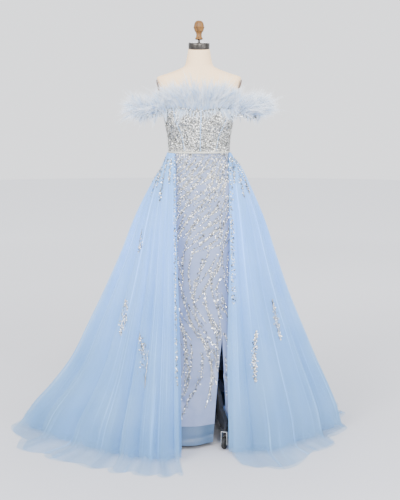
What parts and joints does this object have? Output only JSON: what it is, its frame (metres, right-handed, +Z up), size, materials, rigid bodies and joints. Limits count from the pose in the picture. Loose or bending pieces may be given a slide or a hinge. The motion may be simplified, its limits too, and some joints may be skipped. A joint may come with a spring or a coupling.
{
  "type": "evening gown on a wheeled dress form",
  "caption": "Evening gown with beaded off-shoulder bodice, plume trim, slit sheath skirt and a tulle overskirt with a train, on a limbless dress form on a cast base with casters.",
  "frame": {"origin": "on the floor under the middle of everything's bounding box; the form's pole stands at x 0.0759, y -0.0314", "axes": "+Z up; the gown's front looks along -Y; +X is the wearer's left, the side of the slit"},
  "size_m": [1.5602, 1.061, 1.777],
  "materials": {
    "beaded_cloth": "net closely sewn with silver sequins and beads",
    "waist_piping": "beaded ivory cord",
    "sheath_cloth": "grey-blue lining under net with sprays of sequins",
    "tulle": "matt light blue tulle, see-through",
    "plume": "soft pale blue plumes",
    "zip_coil": "concealed nylon coil",
    "zip_metal": "plated",
    "form_linen": "cream linen over a hard shell",
    "plate_wood": "dark covered board",
    "cap_steel": "spun and plated",
    "knob_wood": "turned and varnished",
    "cast_iron": "black enamel",
    "fork_zinc": "zinc plated",
    "wheel_rubber": "dark tread"
  },
  "bodies": {
    "gown_and_form": {"bodice_centre_front_right": "beaded_cloth", "bodice_centre_front_left": "beaded_cloth", "bodice_side_front_right": "beaded_cloth", "bodice_side_front_left": "beaded_cloth", "bodice_back_left": "beaded_cloth", "bodice_back_right": "beaded_cloth", "shoulder_band_right": "beaded_cloth", "shoulder_band_left": "beaded_cloth", "waist_piping": "waist_piping", "sheath_front": "sheath_cloth", "sheath_side_front_left": "sheath_cloth", "sheath_back_left": "sheath_cloth", "sheath_back_right": "sheath_cloth", "overskirt_outer_front_right": "tulle", "overskirt_outer_side_right": "tulle", "overskirt_outer_back_right": "tulle", "overskirt_outer_back_left": "tulle", "overskirt_outer_side_left": "tulle", "overskirt_outer_front_left": "tulle", "overskirt_inner_front_right": "tulle", "overskirt_inner_side_right": "tulle", "overskirt_inner_back_right": "tulle", "overskirt_inner_back_left": "tulle", "overskirt_inner_side_left": "tulle", "overskirt_inner_front_left": "tulle", "plume_trim_front": "plume", "plume_trim_back": "plume", "plume_trim_right_band": "plume", "plume_trim_left_band": "plume", "back_zip": "zip_coil", "form_torso": "form_linen", "form_armhole_plate_right": "plate_wood", "form_armhole_plate_left": "plate_wood", "form_cap": "cap_steel", "form_rod": "cast_iron", "form_knob": "knob_wood", "stand_pole": "cast_iron", "stand_base": "cast_iron"},
    "zip_pull": {"back_zip_pull": "zip_metal"},
    "fork_1": {"caster_fork_1": "fork_zinc"},
    "fork_2": {"caster_fork_2": "fork_zinc"},
    "fork_3": {"caster_fork_3": "fork_zinc"},
    "fork_4": {"caster_fork_4": "fork_zinc"},
    "wheel_1": {"caster_wheel_1": "wheel_rubber"},
    "wheel_2": {"caster_wheel_2": "wheel_rubber"},
    "wheel_3": {"caster_wheel_3": "wheel_rubber"},
    "wheel_4": {"caster_wheel_4": "wheel_rubber"}
  },
  "joints": [
    {"name": "zip_pull_hinge", "type": "hinge", "parent": "gown_and_form", "child": "zip_pull", "pos_m": [0.07592, 0.07413, 1.3624], "axis": [1, 0, 0], "range_deg": [0, 150]},
    {"name": "swivel_1", "type": "hinge", "parent": "gown_and_form", "child": "fork_1", "pos_m": [0.19026, -0.22171, 0.09], "axis": [0, 0, 1], "continuous": true},
    {"name": "swivel_2", "type": "hinge", "parent": "gown_and_form", "child": "fork_2", "pos_m": [0.26621, 0.08292, 0.09], "axis": [0, 0, 1], "continuous": true},
    {"name": "swivel_3", "type": "hinge", "parent": "gown_and_form", "child": "fork_3", "pos_m": [-0.03842, 0.15887, 0.09], "axis": [0, 0, 1], "continuous": true},
    {"name": "swivel_4", "type": "hinge", "parent": "gown_and_form", "child": "fork_4", "pos_m": [-0.11437, -0.14575, 0.09], "axis": [0, 0, 1], "continuous": true},
    {"name": "roll_1", "type": "hinge", "parent": "fork_1", "child": "wheel_1", "pos_m": [0.1841, -0.23862, 0.027], "axis": [0.9397, -0.342, 0], "continuous": true},
    {"name": "roll_2", "type": "hinge", "parent": "fork_2", "child": "wheel_2", "pos_m": [0.27521, 0.09851, 0.027], "axis": [-0.866, 0.5, 0], "continuous": true},
    {"name": "roll_3", "type": "hinge", "parent": "fork_3", "child": "wheel_3", "pos_m": [-0.04458, 0.17579, 0.027], "axis": [-0.9397, -0.342, 0], "continuous": true},
    {"name": "roll_4", "type": "hinge", "parent": "fork_4", "child": "wheel_4", "pos_m": [-0.09699, -0.15041, 0.027], "axis": [0.2588, 0.9659, 0], "continuous": true}
  ]
}
